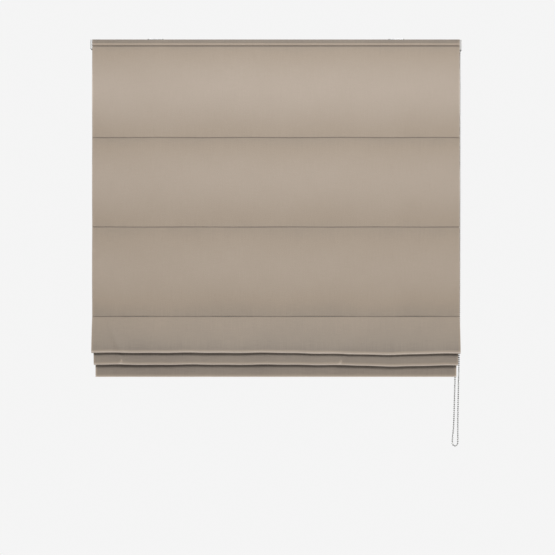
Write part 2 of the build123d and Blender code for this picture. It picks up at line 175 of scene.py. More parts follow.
# End cap, chain cover and the housing plugged into the rail: white acetal mouldings with a faint spark-eroded
# grain, a little more polished where they are handled.
grained, inside, outside = shader_group(
    "moulded grain",
    [("Scale", "Float", 2600.0), ("Low", "Float", 0.36), ("High", "Float", 0.52)],
    [("Tone", "Float"), ("Roughness", "Float"), ("Height", "Float")],
)
place = own_place(grained)
fine = noise(grained, place, inside.outputs["Scale"], 2.0)
broad = noise(grained, place, 45.0, 3.0)
polish = (inside.outputs["Low"], inside.outputs["High"])
give(grained, outside, Tone=broad, Roughness=remap(grained, broad, (0.3, 0.7), polish), Height=fine)


def moulding(name, dark, light, low=0.36, high=0.52, **sockets):
    """A moulded plastic with grain and a slight change of tone."""
    material, tree, shader = finish(name, light, 0.4, **sockets)
    pattern = wire(tree, "ShaderNodeGroup", {"Low": low, "High": high}, node_tree=grained)
    dress(tree, shader, (pattern.outputs["Tone"], dark, light), pattern.outputs["Roughness"],
          (pattern.outputs["Height"], 0.12, 0.0001))
    return material


white_moulding = moulding("white moulding", (0.5, 0.495, 0.48), (0.58, 0.575, 0.56))
paint(white_moulding, "end_cap", "clutch_housing", "clutch_cover")

# Cover screws, bracket plates and rivets: zinc-plated steel with the faint crystalline bloom of the plating. The
# plates are pressed, and screwed up to the ceiling of the recess.
zinc, tree, shader = finish("zinc plate", (0.52, 0.535, 0.55), 0.5, Metallic=1.0)
place = own_place(tree)
crystals = wire(tree, "ShaderNodeTexVoronoi", {"Vector": place, "Scale": 420.0}).outputs["Distance"]
bloom = noise(tree, place, 130.0, 4.0)
spangle = reckon(tree, "MULTIPLY", crystals, bloom)
dress(tree, shader, (spangle, (0.5, 0.51, 0.52), (0.36, 0.375, 0.4)), remap(tree, bloom, (0.3, 0.7), (0.42, 0.6)))
paint(zinc, "cover_screws", "bracket_left", "bracket_right", "cam_rivet_left", "cam_rivet_right")

# Swivel cams with their levers: a grey moulding that locks the rail under its bracket. Each turns on the rivet that
# holds it to the plate.
cam_moulding = moulding("cam moulding", (0.52, 0.52, 0.5), (0.6, 0.6, 0.58))
paint(cam_moulding, "cam_left", "cam_right")

# Drive inside the rail: square steel shaft, its bush, the chain wheel with its brake spring, and the spools in
# their cradles. The plastics are natural acetal, the steel is bright drawn bar.
shaft_steel = drawn_metal("bright drawn steel", (0.46, 0.47, 0.48), (0.62, 0.63, 0.65), along=4.0, across=1500.0)
paint(shaft_steel, "drive_shaft", "brake_spring")
acetal = moulding("natural acetal", (0.66, 0.66, 0.62), (0.76, 0.75, 0.71), low=0.28, high=0.42)
places = ("left", "middle", "right")
paint(acetal, "shaft_bush", "chain_wheel", *[f"spool_{p}" for p in places], *[f"spool_cradle_{p}" for p in places])

# Cord laid on the spools: turns of braided polyester, side by side, wound while the two lowest panels were gathered.
# Each spool carries one cord and turns with the shaft.


def tree_with_sockets(name, sockets):
    """A geometry tree that turns a line into a piece, with named inputs, and its input node."""
    tree = bpy.data.node_groups.new(name, "GeometryNodeTree")
    tree.interface.new_socket("Line", in_out="INPUT", socket_type="NodeSocketGeometry")
    for socket_name, kind, default in sockets:
        socket = tree.interface.new_socket(socket_name, in_out="INPUT", socket_type=f"NodeSocket{kind}")
        socket.default_value = default
    tree.interface.new_socket("Material", in_out="INPUT", socket_type="NodeSocketMaterial")
    tree.interface.new_socket("Made", in_out="OUTPUT", socket_type="NodeSocketGeometry")
    return tree, tree.nodes.new("NodeGroupInput")


def close_tree(tree, inside, geometry):
    """End a tree: shade smooth, make instances real and set the material."""
    smooth = wire(tree, "GeometryNodeSetShadeSmooth", {0: geometry})
    real = wire(tree, "GeometryNodeRealizeInstances", {0: smooth.outputs[0]})
    dressed = wire(tree, "GeometryNodeSetMaterial", {0: real.outputs[0], "Material": inside.outputs["Material"]})
    outside = tree.nodes.new("NodeGroupOutput")
    tree.links.new(dressed.outputs[0], outside.inputs[0])


def add_object(name, mesh):
    """A new object at the origin with that mesh."""
    made = bpy.data.objects.new(name, mesh)
    bpy.context.scene.collection.objects.link(made)
    return made


def line_mesh(lines):
    """A mesh of open lines: lists of points, joined one to the next."""
    points, edges = [], []
    for line in lines:
        edges += [(len(points) + i, len(points) + i + 1) for i in range(len(line) - 1)]
        points += [tuple(p) for p in line]
    mesh = bpy.data.meshes.new("line")
    mesh.from_pydata(points, edges, [])
    return mesh


def made_along(name, tree, lines, material, **values):
    """Run a geometry tree along lines and keep its result as a plain mesh object."""
    source = add_object("line", line_mesh(lines))
    modifier = source.modifiers.new("along", "NODES")
    modifier.node_group = tree
    wanted = {**{key.replace("_", " "): value for key, value in values.items()}, "Material": material}
    for item in tree.interface.items_tree:
        if item.item_type == "SOCKET" and item.in_out == "INPUT" and item.name in wanted:
            modifier[item.identifier] = wanted[item.name]
    bpy.context.view_layer.update()
    mesh = bpy.data.meshes.new_from_object(source.evaluated_get(bpy.context.evaluated_depsgraph_get()))
    bpy.data.objects.remove(source)
    return add_object(name, mesh)


cord_tree, inside = tree_with_sockets(
    "round cord",
    [("Radius", "Float", 0.0007), ("Sides", "Int", 8), ("Step", "Float", 0.001)],
)
curve = wire(cord_tree, "GeometryNodeMeshToCurve", {0: inside.outputs["Line"]})
even = wire(cord_tree, "GeometryNodeResampleCurve", {"Curve": curve.outputs[0], "Length": inside.outputs["Step"]},
            mode="LENGTH")
ring = wire(cord_tree, "GeometryNodeCurvePrimitiveCircle",
            {"Resolution": inside.outputs["Sides"], "Radius": inside.outputs["Radius"]})
tube = wire(cord_tree, "GeometryNodeCurveToMesh",
            {"Curve": even.outputs[0], "Profile Curve": ring.outputs[0], "Fill Caps": True})
close_tree(cord_tree, inside, tube.outputs[0])

# Braided polyester: two sets of yarns that cross round the cord, read from its own place
braid, tree, shader = finish("braided cord", (0.78, 0.76, 0.71), 0.75, Sheen_Weight=0.3, Sheen_Roughness=0.5)
split = wire(tree, "ShaderNodeSeparateXYZ", {0: own_place(tree)})
waves = []
for slant in (1.0, -1.0):
    slanted = reckon(tree, "ADD", reckon(tree, "MULTIPLY", split.outputs[0], slant), split.outputs[2])
    waves.append(reckon(tree, "SINE", reckon(tree, "MULTIPLY", slanted, 5200.0)))
yarns = remap(tree, reckon(tree, "MULTIPLY", *waves), (-1.0, 1.0), (0.0, 1.0))
dress(tree, shader, (yarns, (0.66, 0.64, 0.59), (0.82, 0.8, 0.76)), relief=(yarns, 0.5, 0.0001))

cord_radius = 0.0007
shaft_low, shaft_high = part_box("drive_shaft")
shaft_z = (shaft_low.z + shaft_high.z) / 2
cord_boxes = {p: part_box(f"lift_cord_{p}") for p in places}
stations = {p: (low.x + high.x) / 2 for p, (low, high) in cord_boxes.items()}
cord_y = (cord_boxes["middle"][0].y + cord_boxes["middle"][1].y) / 2
winding_pitch = 0.00146
winding_turns = 7
points_per_turn = 20
for p in places:
    turns = []
    for i in range(winding_turns * points_per_turn + 1):
        angle = 2 * math.pi * i / points_per_turn
        across = stations[p] - winding_pitch * i / points_per_turn
        turns.append((across, cord_y * math.cos(angle), shaft_z + cord_y * math.sin(angle)))
    winding = made_along(f"winding_{p}", cord_tree, [turns], braid, Radius=cord_radius, Step=0.0022)
    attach(winding, "drive")

# Hook tape glued to the rail and loop tape sewn to the heading: woven nylon with a fuzzy pile edge. Pressed
# together, they hold the cloth to the rail.
pile, tree, shader = finish("woven tape with pile", (0.75, 0.74, 0.71), 0.9, Sheen_Weight=0.4, Sheen_Roughness=0.4)
tufts = wire(tree, "ShaderNodeTexVoronoi", {"Vector": own_place(tree), "Scale": 900.0}).outputs["Distance"]
dress(tree, shader, (tufts, (0.8, 0.79, 0.76), (0.55, 0.54, 0.52)), relief=(tufts, 0.7, 0.0003))
paint(pile, "hook_tape", "loop_tape")

# Face cloth: one width of closely woven satin-faced cloth, turned over at its sides, head and hem. It hangs flat
# over the three open panels and in two soft folds over the gathered rods. It is cut here into the lengths
# between rods.
mm = 0.001
rods = [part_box(f"rod_{n}") for n in range(1, 6)]
rod_z = [(low.z + high.z) / 2 / mm for low, high in rods]
rod_y = (rods[0][0].y + rods[0][1].y) / 2 / mm
loop_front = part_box("loop_tape")[0].y / mm
face_low, face_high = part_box("face_fabric")
lining_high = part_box("lining")[1]
cloth_depth = 1.55  # face and lining together
face_front = loop_front - 0.1 - cloth_depth
face_thick = 0.45
lining_thick = 0.4
lining_gap = cloth_depth - lining_thick
cloth_top = face_high.z / mm
hem_bottom = face_low.z / mm
half_width = face_high.x / mm
side_turn = 25.0  # cloth turned to the back at each side
turn_radius = 0.55
lip_depths = (916.0, 951.0)  # how far down the two fold lips hang
crease_above = 3.0  # a crease lies this far over the middle of its rod


def rounded(corners):
    """Points along straight runs joined by arcs. Each corner is (y, z, radius)."""
    points = [Vector(corners[0][:2])]
    for before, (y, z, radius), after in zip(corners, corners[1:], corners[2:]):
        corner = Vector((y, z))
        come = (corner - Vector(before[:2])).normalized()
        go = (Vector(after[:2]) - corner).normalized()
        turn = come.angle_signed(go)
        if radius <= 0 or abs(turn) < 1e-4:
            points.append(corner)
            continue
        reach = radius * math.tan(abs(turn) / 2)
        count = max(3, math.ceil(abs(turn) * 180 / math.pi / 9))
        for i in range(count + 1):
            # round the arc, from where it leaves the first run
            angle = abs(turn) * i / count
            side = 1 if come.x * go.y - come.y * go.x > 0 else -1
            normal = Vector((-come.y, come.x)) * side
            start = corner - come * reach
            points.append(start + come * (radius * math.sin(angle)) + normal * (radius * (1 - math.cos(angle))))
    points.append(Vector(corners[-1][:2]))
    filled = [points[0]]
    for point in points[1:]:
        gap = (point - filled[-1]).length
        if gap < 0.05:
            continue
        count = math.ceil(gap / 4.0)
        start = filled[-1].copy()
        filled += [start.lerp(point, i / count) for i in range(1, count + 1)]
    return filled


def panel_line(top, bottom, tuck, pillow, belly):
    """Points down a panel between two seams: a tuck at each seam, a soft pillow beside it, and a slack belly."""
    near = [0, 0.35, 0.7, 1.05, 1.4, 1.8, 2.4, 3.2, 4.4, 6, 8.5, 12, 16, 21, 27]
    length = top - bottom
    count = math.ceil((length - 2 * near[-1]) / 6.0)
    middle = [near[-1] + (length - 2 * near[-1]) * i / count for i in range(1, count)]
    steps = near + middle + [length - d for d in reversed(near)]
    line = []
    for d in steps:
        from_seam = min(d, length - d)
        valley = math.exp(-((from_seam / 1.15) ** 2))
        swell = (1 - valley) * math.exp(-from_seam / 9.0)
        slack = math.sin(math.pi * d / length) ** 1.5
        line.append(Vector((tuck * valley - pillow * swell - belly * slack, top - d)))
    return line


rod_1, rod_2, rod_3, rod_4, rod_5 = rod_z
crease_4, crease_5 = rod_4 + crease_above, rod_5 + crease_above
lip_1, lip_2 = -lip_depths[0], -lip_depths[1]
heading = 22.0  # from the ceiling to the stitched line under the heading
tuck_depth = 0.65
pillow_height = 0.6
slack_depth = 4.5
face_lengths = {
    "heading": rounded([
        (1.5, cloth_top - 3.0, 0), (1.5, cloth_top, 0.35), (0.8, cloth_top, 0.35), (0.6, -11.5, 4.0),
        (-1.9, -14.2, 2.2),
        (-2.1, -18.2, 1.8), (0.35, -20.7, 1.2), (tuck_depth, -heading, 0)]),
    "panel_1": panel_line(-heading, rod_1, tuck_depth, pillow_height, slack_depth),
    "panel_2": panel_line(rod_1, rod_2, tuck_depth, pillow_height, slack_depth),
    "panel_3": panel_line(rod_2, rod_3, tuck_depth, pillow_height, slack_depth),
}
fold_corners = [
    (tuck_depth, rod_3, 0),
    (-0.6, rod_3 - 1.6, 1.6),
    (-5.0, rod_3 - 13.0, 30),
    (-11.0, rod_3 - 33.0, 50),
    (-29.0, lip_1, 5.0),
    (-17.5, lip_1, 5.0),
    (-6.9, rod_3 - 34.0, 12),
    (-1.8, crease_4, 0.85),
    (0, crease_4, 0.85),
    (0, crease_4 - 4.0, 5.0),
    (-5.5, crease_4 - 16.0, 5.0),
    (-7.3, crease_4 - 30.0, 12),
    (-16.0, lip_2, 5.0),
    (-4.5, lip_2, 5.0),
    (-3.8, crease_5 - 16.0, 12),
    (-1.8, crease_5, 0.85),
    (0, crease_5, 0.85),
    (0, hem_bottom, 0.7),
    (1.45, hem_bottom, 0.7),
    (1.45, hem_bottom + 22.0, 0),
]
fold_line = rounded(fold_corners)


def nearest(line, y, z):
    """The number of the line's point nearest to a place."""
    return min(range(len(line)), key=lambda i: (line[i] - Vector((y, z))).length)


split_above = 8.0  # where a fold's front leaf ends, this far above its lip on the way back up
fold_marks = [(-23.2, lip_1), (-16.6, lip_1 + split_above), (-0.9, crease_4),
              (-10.2, lip_2), (-4.5, lip_2 + split_above), (-0.9, crease_5)]
lip_1_at, split_1_at, crease_4_at, lip_2_at, split_2_at, crease_5_at = (
    nearest(fold_line, y, z) for y, z in fold_marks)


def travelled(line):
    """How far along the line each of its points is."""
    way = [0.0]
    for a, b in zip(line, line[1:]):
        way.append(way[-1] + (b - a).length)
    return way


def ease(t):
    """From 0 to 1, starting and ending gently."""
    t = min(max(t, 0.0), 1.0)
    return t * t * (3 - 2 * t)


def fold_weights(way, lip, crease, start=0):
    """How far each point of a fold follows its lip: not at all at the seam and the crease, fully at the lip."""
    weights = []
    for i, d in enumerate(way):
        if i <= start or i >= crease:
            weights.append(0.0)
        elif i <= lip:
            weights.append(ease((d - way[start]) / (way[lip] - way[start])))
        else:
            weights.append(ease((way[crease] - d) / (way[crease] - way[lip])))
    return weights


def drop(x, middle, spread, depth):
    """A lip's slow dip to one side of the blind, with smaller uneven waves along it."""
    wave = 0.5 * math.sin(x / 37.0 + middle) + 0.35 * math.sin(x / 17.0 + 2 * middle)
    return -depth * math.exp(-(((x - middle) / spread) ** 2)) + wave


def swing(x, phase):
    """How a lip stands forward or back along the blind."""
    return 1.3 * math.sin(x / 150.0 + phase) + 0.6 * math.sin(x / 61.0 + 3 * phase)


def across_cloth(half, turn, radius):
    """Places across a width of cloth as (flat place, x, distance behind its face): the sides turn to the back."""
    edge = [half - d for d in (0, 0.8, 2.0, 4.0, 7.0, 12.0)]
    count = math.ceil(edge[-1] / 3.5)
    right = [(edge[-1] * i / count, edge[-1] * i / count, 0.0) for i in range(count)]
    right += [(x, x, 0.0) for x in reversed(edge)]
    if turn:
        arc = 6
        for i in range(1, arc + 1):
            angle = math.pi * i / arc
            right.append((half + radius * angle, half + radius * math.sin(angle), radius * (1 - math.cos(angle))))
        flat = half + radius * math.pi
        for d in (0.8, 3.0, 7.0, 13.0, turn):
            right.append((flat + d, half - d, 2 * radius))
    left = [(-u, -x, behind) for u, x, behind in reversed(right[1:])]
    return left + right


def cloth_piece(name, line, move, shades, across, thickness, half_at=None, edge_light=0.0, pinch_highlights=()):
    """A length of cloth along a line, with its UVs in metres along the cloth and a painted shade at every point.
    A pinch highlight (x, z) is a painted highlight on a small crease, narrowing upwards from there."""
    edge = max(x for _, x, _ in across)
    way = travelled(line)
    columns = len(across)
    points, flat, tones = [], [], []
    for i, point in enumerate(line):
        travel = (line[min(i + 1, len(line) - 1)] - line[max(i - 1, 0)]).normalized()
        outward = Vector((travel.y, -travel.x))
        scale = 1.0 if half_at is None else half_at[i]
        for u, x, behind in across:
            dy, dz = move(x, i)
            place = point - outward * behind
            points.append((x * scale * mm, (face_front + place.x + dy) * mm, (place.y + dz) * mm))
            flat.append((u * mm, way[i] * mm))
            # painted highlight along the cloth's edges
            tone = shades[i] + edge_light * math.exp(-(((edge - abs(x)) / 2.8) ** 2))
            # painted highlights on the pinched creases
            for pinch_x, pinch_z in pinch_highlights:
                up = point.y - pinch_z
                if 0 < up < 12:
                    tone += 0.45 * math.exp(-(((x - pinch_x - 0.3 * up) / (5.5 - 0.4 * up)) ** 2))
            tones.append(tone)
    faces = []
    for i in range(len(line) - 1):
        for j in range(columns - 1):
            a = i * columns + j
            faces.append((a, a + columns, a + columns + 1, a + 1))
    mesh = bpy.data.meshes.new(name)
    mesh.from_pydata(points, [], faces)
    layer = mesh.uv_layers.new(name="cloth")
    layer.data.foreach_set("uv", [c for corner in mesh.loops for c in flat[corner.vertex_index]])
    mesh.attributes.new("shade", "FLOAT", "POINT").data.foreach_set("value", tones)
    sheet = add_object(name, mesh)
    solid = sheet.modifiers.new("thickness", "SOLIDIFY")
    solid.thickness = thickness * mm
    solid.offset = -1.0
    return plain(sheet)


def plain(made):
    """Apply an object's modifiers and shade it smooth, with its sharp edges kept."""
    bpy.context.view_layer.update()
    mesh = bpy.data.meshes.new_from_object(made.evaluated_get(bpy.context.evaluated_depsgraph_get()))
    made.modifiers.clear()
    made.data = mesh
    mesh.shade_smooth()
    mesh.set_sharp_from_angle(angle=math.radians(50))
    return made


# Woven satin: fine warp and weft on the cloth's own UVs, with slubs and slow changes of tone
weave, inside, outside = shader_group(
    "plain weave",
    [("Threads", "Float", 1900.0), ("Slub", "Float", 1.0), ("Nap", "Float", 1.0)],
    [("Thread", "Float"), ("Tone", "Float"), ("Height", "Float")],
)
cloth_map = wire(weave, "ShaderNodeUVMap", uv_map="cloth").outputs[0]
counted = wire(weave, "ShaderNodeVectorMath", {0: cloth_map, 3: inside.outputs["Threads"]}, operation="SCALE")
split = wire(weave, "ShaderNodeSeparateXYZ", {0: counted.outputs[0]})
warp, weft = (reckon(weave, "SINE", split.outputs[i]) for i in range(2))
thread = remap(weave, reckon(weave, "MULTIPLY", warp, weft), (-1.0, 1.0), (0.0, 1.0))
yarns = []
for direction in ((26.0, 900.0, 1.0), (700.0, 18.0, 1.0)):
    run = wire(weave, "ShaderNodeVectorMath", {0: cloth_map, 1: direction}, operation="MULTIPLY")
    yarns.append(noise(weave, run.outputs[0], 1.0, 2.0))
centred = reckon(weave, "SUBTRACT", reckon(weave, "ADD", *yarns), 1.0)
slubbed = reckon(weave, "MULTIPLY", centred, inside.outputs["Slub"])
drift = reckon(weave, "SUBTRACT", noise(weave, cloth_map, 7.0, 2.0), 0.5)
drifted = reckon(weave, "MULTIPLY", drift, inside.outputs["Nap"])
give(weave, outside, Thread=thread, Tone=reckon(weave, "ADD", slubbed, drifted),
     Height=reckon(weave, "ADD", thread, slubbed))


def woven(name, stops, tone_share, threads, bump_height, roughness, **sockets):
    """A woven cloth. Stops are (shade, colour), from darkest to lightest; on the face and lining the shade is painted
    light and shade.
    """
    material, tree, shader = finish(name, stops[-1][1], roughness, **sockets)
    pattern = wire(tree, "ShaderNodeGroup", {"Threads": threads}, node_tree=weave)
    shade = wire(tree, "ShaderNodeAttribute", attribute_name="shade").outputs["Fac"]
    drift = reckon(tree, "MULTIPLY", pattern.outputs["Tone"], tone_share)
    ramp = wire(tree, "ShaderNodeValToRGB", {0: reckon(tree, "ADD", shade, drift)})
    band = ramp.color_ramp
    band.elements[0].position, band.elements[0].color = stops[0][0], (*stops[0][1], 1)
    band.elements[1].position, band.elements[1].color = stops[-1][0], (*stops[-1][1], 1)
    for position, colour in stops[1:-1]:
        band.elements.new(position).color = (*colour, 1)
    dim = remap(tree, pattern.outputs["Thread"], (0.0, 1.0), (0.9, 1.05))
    tinted = wire(tree, "ShaderNodeVectorMath", {0: ramp.outputs[0], 3: dim}, operation="SCALE")
    tree.links.new(tinted.outputs[0], shader.inputs["Base Color"])
    dress(tree, shader, relief=(pattern.outputs["Height"], 0.35, bump_height))
    return material


def clothe(piece, material):
    """Give a made piece its one finish."""
    piece.data.materials.clear()
    piece.data.materials.append(material)


# Its stops run from painted shadow under the lips and in the seams to a painted highlight on the rolled lips
satin = woven(
    "taupe satin",
    [(0.0, (0.12, 0.095, 0.076)), (0.12, (0.235, 0.195, 0.161)), (0.3, (0.33, 0.273, 0.217)),
     (0.5, (0.405, 0.326, 0.252)), (0.84, (0.47, 0.389, 0.316)), (0.95, (0.5, 0.415, 0.342)),
     (1.0, (0.65, 0.56, 0.48))],
    0.16, 7800.0, 0.00008, 0.62, Sheen_Weight=0.25, Sheen_Roughness=0.45,
)

# How the cloth hangs: puckers by the stitched seams, slow ripples over the panels, uneven lips on the folds
face_across = across_cloth(half_width, side_turn, turn_radius)


straight_above = -60.0  # the cloth runs straight this near the rail, and its seams waver below


def panel_move(line):
    """How far a panel's points stand off their line: (y, z) for an x and a row."""
    top, bottom = line[0].y, line[-1].y
    if bottom >= -heading:
        return lambda x, i: (0.0, 0.0)

    def move(x, i):
        d = min(top - line[i].y, line[i].y - bottom)
        pucker = 0.22 * math.exp(-d / 10.0) * (1 - math.exp(-d / 1.5))
        ripple = 0.7 * math.sin(math.pi * (top - line[i].y) / (top - bottom))
        dy = pucker * (math.sin(x / 5.3) + math.sin(x / 8.7 + bottom)) + ripple * math.sin(x / 88.0 + bottom)
        dz = 0.35 * math.exp(-d / 20.0) * math.sin(x / 43.0 + round(line[i].y / 100.0))
        return dy, dz if line[i].y < straight_above else 0.0

    return move


def panel_shades(line, near_top, free, near_bottom):
    """Painted light and shade down a panel: painted shade darkest in a seam's valley, then the shade near the top
    seam, a painted light band where it hangs free, and the shade near the bottom seam.
    """
    top, bottom = line[0].y, line[-1].y
    valley_shade = 0.1
    shades = []
    for point in line:
        part = (top - point.y) / (top - bottom)
        near = near_top + (near_bottom - near_top) * part
        shade = near + (free - near) * max(math.sin(math.pi * part), 0.0) ** 1.2
        reach = 2.4 if top >= -heading and part < 0.5 else 1.5
        valley = math.exp(-((min(top - point.y, point.y - bottom) / reach) ** 2))
        shades.append(shade * (1 - valley) + valley_shade * valley)
    return shades


def heading_shades(line):
    """The heading band is in the shade of the recess, with a lit ridge over its stitched valley."""
    shades = []
    for point in line:
        ridge = math.exp(-(((point.y + 17.0) / 2.7) ** 2))
        shades.append(max(0.2 * ease((point.y + 22.5) / 6.0), 0.08) + 0.6 * ridge)
    return shades


face_pieces = {}
edge_light = 0.3  # painted highlight along the turned sides
# painted light and shade on each panel near its top seam, in its middle and near its bottom seam: a lighter middle,
# and darker the lower the panel hangs
painted_panel_light = {"panel_1": (0.42, 0.86, 0.48), "panel_2": (0.41, 0.75, 0.46), "panel_3": (0.43, 0.66, 0.34)}
for part, line in face_lengths.items():
    shades = heading_shades(line) if part == "heading" else panel_shades(line, *painted_panel_light[part])
    piece = cloth_piece(f"face_{part}", line, panel_move(line), shades, face_across, face_thick,
                        edge_light=edge_light)
    face_pieces[part] = (piece, travelled(line)[-1])

fold_way = travelled(fold_line)
first_fold = fold_weights(fold_way, lip_1_at, crease_4_at)
second_fold = fold_weights(fold_way, lip_2_at, crease_5_at, crease_4_at)
narrowing = 9.5  # the hem is drawn in by this much at each side
fold_halves = [1 - narrowing / half_width * ease(d / fold_way[-1] * 1.15) for d in fold_way]


def dent(x, middle, spread, depth):
    """A small pinch in a fold where the cloth has been handled."""
    return depth * math.exp(-(((x - middle) / spread) ** 2))


def fold_stand(x, a, b, above):
    """How far a fold stands off its line, for how much it follows each lip and its height above that lip."""
    dy = a * (swing(x, 0.4) - dent(x + 0.5 * above, -448.0, 11.0, 1.6) - dent(x - 0.4 * above, 212.0, 16.0, 1.2))
    dy += b * (0.6 * swing(x, 1.9) - dent(x + 0.7 * above, -446.0, 9.0, 1.4) - dent(x - 0.6 * above, 188.0, 9.0, 1.8))
    dz = a * drop(x, 310.0, 190.0, 5.8) + b * drop(x, 360.0, 170.0, 4.6)
    return dy, dz


def fold_move(x, i):
    """How far the folds' points stand off their line."""
    above = fold_line[i].y - (lip_1 if i < crease_4_at else lip_2)
    return fold_stand(x, first_fold[i], second_fold[i], above)


def fold_shade(i):
    """Light on the rolled lips, darker on the leaves above them, and darkest in the shadow under each lip."""
    d = fold_way[i]
    edge_1 = math.exp(-(((d - fold_way[lip_1_at] + 4.6) / 3.9) ** 2))
    edge_2 = math.exp(-(((d - fold_way[lip_2_at] + 4.4) / 3.5) ** 2))
    lip_light = 0.95 * max(edge_1, edge_2)
    if i <= lip_1_at:
        t = d / fold_way[lip_1_at]
        base = 0.43 - 0.16 * t - 0.14 * t ** 5
    elif i <= crease_4_at:
        base = 0.2
    elif i <= crease_5_at:
        base = 0.22 - 0.15 * math.exp(-(((lip_1 - fold_line[i].y) / 10.0) ** 2))
    else:
        # lighter towards the hem's bottom, with painted shadow under the second lip and a painted highlight along the
        # bottom edge
        low = math.exp(-abs(fold_line[i].y - hem_bottom) / 9.0)
        base = 0.17 + 0.12 * low - 0.13 * math.exp(-(((lip_2 - fold_line[i].y) / 10.0) ** 2))
        base += 0.85 * math.exp(-(((fold_line[i].y - hem_bottom) / 3.3) ** 2))
    # painted shade in the seam's valley under rod 3
    valley = math.exp(-((d / 1.5) ** 2))
    return max(base * (1 - valley) + 0.1 * valley, 0.0) + lip_light


fold_shades = [fold_shade(i) for i in range(len(fold_line))]
spans = {
    "fold_1_front": (0, split_1_at),
    "fold_1_back": (split_1_at, crease_4_at),
    "fold_2_front": (crease_4_at, split_2_at),
    "fold_2_back": (split_2_at, crease_5_at),
    "hem": (crease_5_at, len(fold_line) - 1),
}
# painted highlight along the hem's ends
hem_edge_light = 0.85
# painted highlights on two pinched creases above the second lip
pinch_highlights = [(-457.0, lip_2 + 3.0), (188.0, lip_2 + 3.0)]
for part, (first, last) in spans.items():
    line = fold_line[first:last + 1]

    def move(x, i, first=first):
        return fold_move(x, first + i)

    piece = cloth_piece(
        f"face_{part}", line, move, fold_shades[first:last + 1], face_across, face_thick, fold_halves[first:last + 1],
        hem_edge_light if part == "hem" else edge_light, pinch_highlights if part == "fold_2_front" else [])
    face_pieces[part] = (piece, travelled(line)[-1])

gathers = {  # body above, joint, and where the panel starts and ends
    "panel_1": ("headrail", "lift_1", -heading, rod_1),
    "panel_2": ("rod_1", "lift_2", rod_1, rod_2),
    "panel_3": ("rod_2", "lift_3", rod_2, rod_3),
}
joins = {
    "fold_1_back": ("rod_3", "rod_4", lip_1 + split_above + 1.5, crease_4 - 4.0),
    "fold_2_back": ("rod_4", "bottom", lip_2 + split_above + 1.5, crease_5 - 4.0),
}
riders = {"heading": "headrail", "fold_1_front": "rod_3", "fold_2_front": "rod_4", "hem": "bottom"}


def gather(piece, body, joint, top, bottom):
    """Let a piece hang from a body, with its own copy of its mesh."""
    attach(piece, body)
    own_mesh(piece)


def hang_cloth(part, piece, replaced):
    """Hang a length of cloth from its body, or fix it where it lies between two rods, and hide the part it replaces.
    """
    if part in gathers:
        gather(piece, *gathers[part])
    elif part in joins:
        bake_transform(piece)
    else:
        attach(piece, riders[part])
    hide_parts(replaced)


for part, (piece, length) in face_pieces.items():
    clothe(piece, satin)
    hang_cloth(part, piece, "face_fabric")

# Lining: ivory sateen behind the face, slip-stitched over its side turnings and caught down at every rod. It is cut
# here into the same lengths as the face.
lining_half = lining_high.x / mm
lining_satin = woven(
    "ivory sateen lining",
    [(0.0, (0.5, 0.47, 0.4)), (0.3, (0.62, 0.59, 0.52)), (0.9, (0.74, 0.71, 0.64))],
    0.14, 8200.0, 0.00006, 0.58, Sheen_Weight=0.2, Sheen_Roughness=0.5,
)
lining_across = across_cloth(lining_half, 0, 0)


def behind_face(line, distance):
    """A line moved off the back of the face cloth."""
    moved = []
    for i, point in enumerate(line):
        travel = (line[min(i + 1, len(line) - 1)] - line[max(i - 1, 0)]).normalized()
        moved.append(point - Vector((travel.y, -travel.x)) * distance)
    return moved


lining_fold = rounded([(0, rod_3, 0), (-0.9, rod_3 - 4.0, 6)] + fold_corners[2:17] + [(0, hem_bottom + 20.0, 0)])
lining_way = travelled(lining_fold)
lining_lip_1, lining_split_1, lining_crease_4, lining_lip_2, lining_split_2, lining_crease_5 = (
    nearest(lining_fold, y, z) for y, z in fold_marks)
lining_first = fold_weights(lining_way, lining_lip_1, lining_crease_4)
lining_second = fold_weights(lining_way, lining_lip_2, lining_crease_5, lining_crease_4)
lining_set_back = behind_face(lining_fold, lining_gap)


def lining_move(x, i):
    """The lining goes with the face on the folds."""
    above = lining_fold[i].y - (lip_1 if i < lining_crease_4 else lip_2)
    return fold_stand(x, lining_first[i], lining_second[i], above)


lining_ends = [0, lining_split_1, lining_crease_4, lining_split_2, lining_crease_5, len(lining_fold) - 1]
lining_spans = dict(zip(spans, zip(lining_ends, lining_ends[1:])))
lining_panels = {"heading": (cloth_top - 1.0, -heading), "panel_1": (-heading, rod_1), "panel_2": (rod_1, rod_2),
                 "panel_3": (rod_2, rod_3)}
for part in [*lining_panels, *lining_spans]:
    if part in lining_panels:
        top, bottom = lining_panels[part]
        if part == "heading":
            line = [Vector((0, top)), Vector((0, bottom / 2)), Vector((0, bottom))]
        else:
            line = panel_line(top, bottom, 0, 0, slack_depth)
        line = behind_face(line, lining_gap)
        move, halves = panel_move(line), None
        # painted light and shade on the lining panels, softened from the face's
        shades = [0.1 + 0.75 * s for s in panel_shades(line, 0.5, 0.86, 0.5)]
    else:
        first, last = lining_spans[part]
        line = lining_set_back[first:last + 1]

        def move(x, i, first=first):
            return lining_move(x, first + i)

        shades = [0.5] * len(line)
        halves = [1 - narrowing / half_width * ease(d / lining_way[-1]) for d in lining_way[first:last + 1]]
    piece = cloth_piece(f"lining_{part}", line, move, shades, lining_across, lining_thick, halves)
    clothe(piece, lining_satin)
    hang_cloth(part, piece, "lining")

